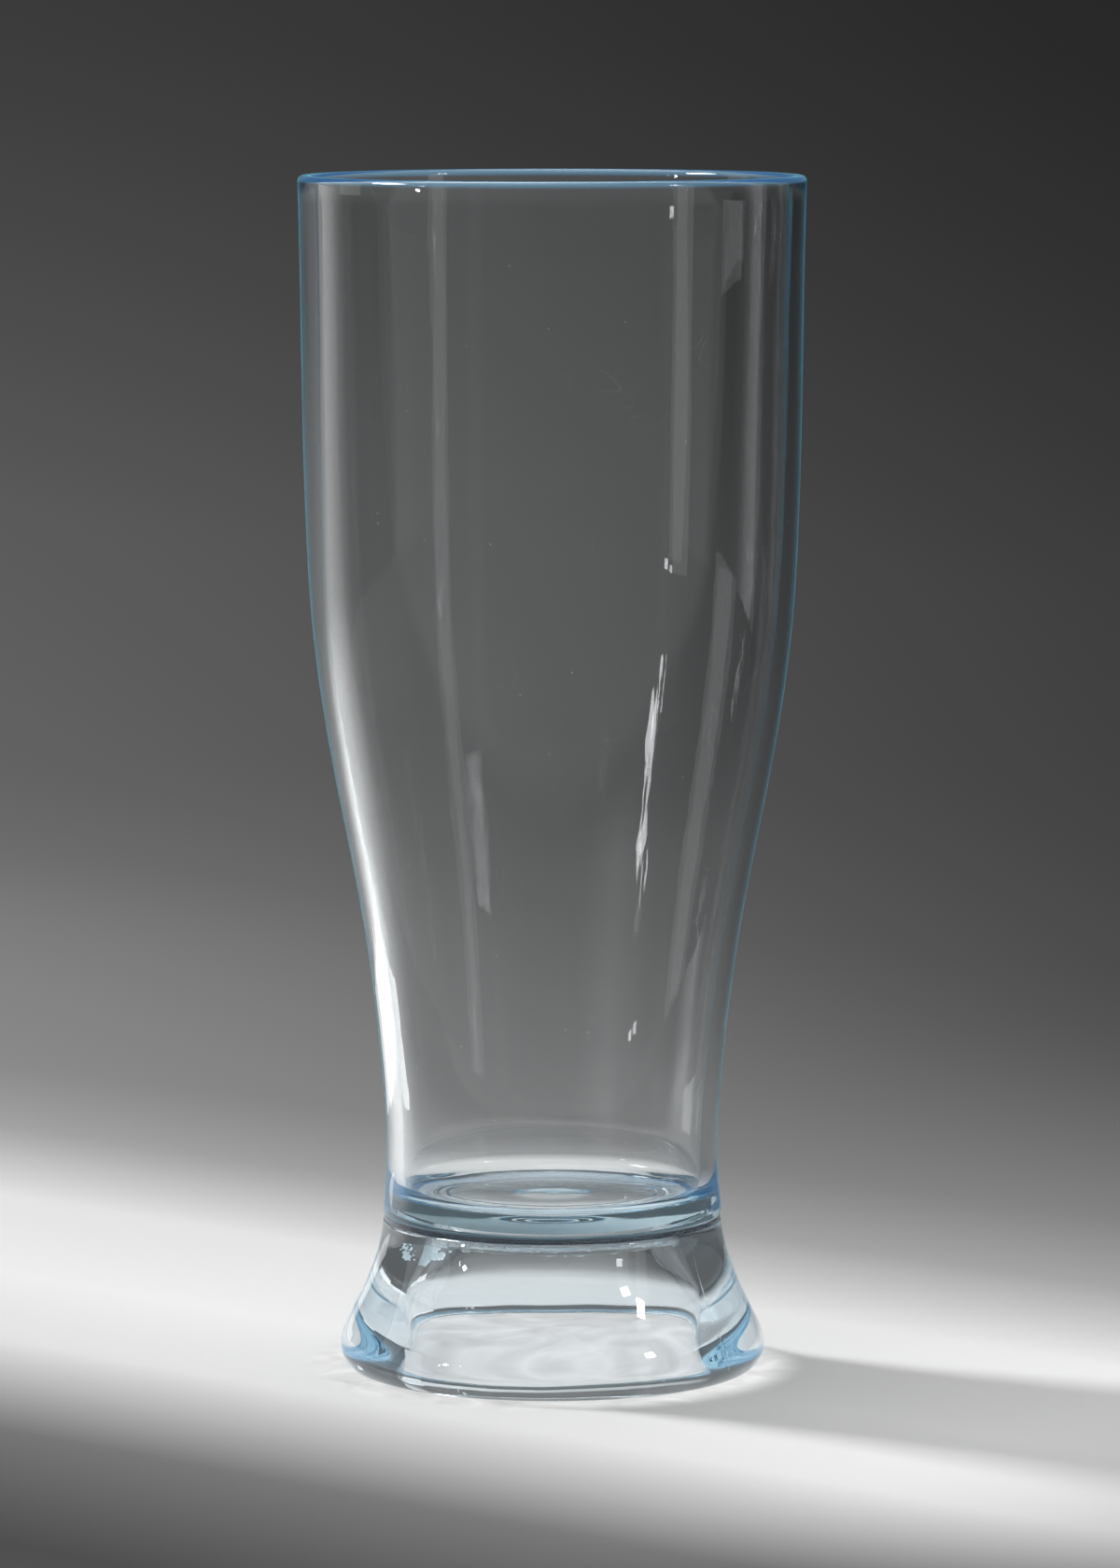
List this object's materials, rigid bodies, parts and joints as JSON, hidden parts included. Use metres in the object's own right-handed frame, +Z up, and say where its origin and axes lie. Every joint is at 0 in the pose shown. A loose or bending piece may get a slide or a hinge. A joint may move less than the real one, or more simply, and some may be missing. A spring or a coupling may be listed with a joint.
{
  "type": "wheat beer glass",
  "caption": "Tall clear beer glass with a wide mouth, an S-shaped wall and a narrow waist, bonded to a hollow flared foot that it stands on; holds a long drink.",
  "frame": {"origin": "centre of the foot, on the surface that the glass stands on", "axes": "+Z up along the turning axis, from the foot to the mouth; X and Y are free because every piece is turned about Z"},
  "size_m": [0.084, 0.084, 0.199],
  "materials": {
    "cup_plastic": "clear, polished, faint blue tint in the thick of the material",
    "foot_plastic": "clear, polished, blue tint that shows in the thick flare",
    "cured_adhesive": "cloudy clear with fine bubbles"
  },
  "bodies": {
    "root": {"cup": "cup_plastic", "foot": "foot_plastic", "bond_ring": "cured_adhesive"}
  },
  "joints": []
}
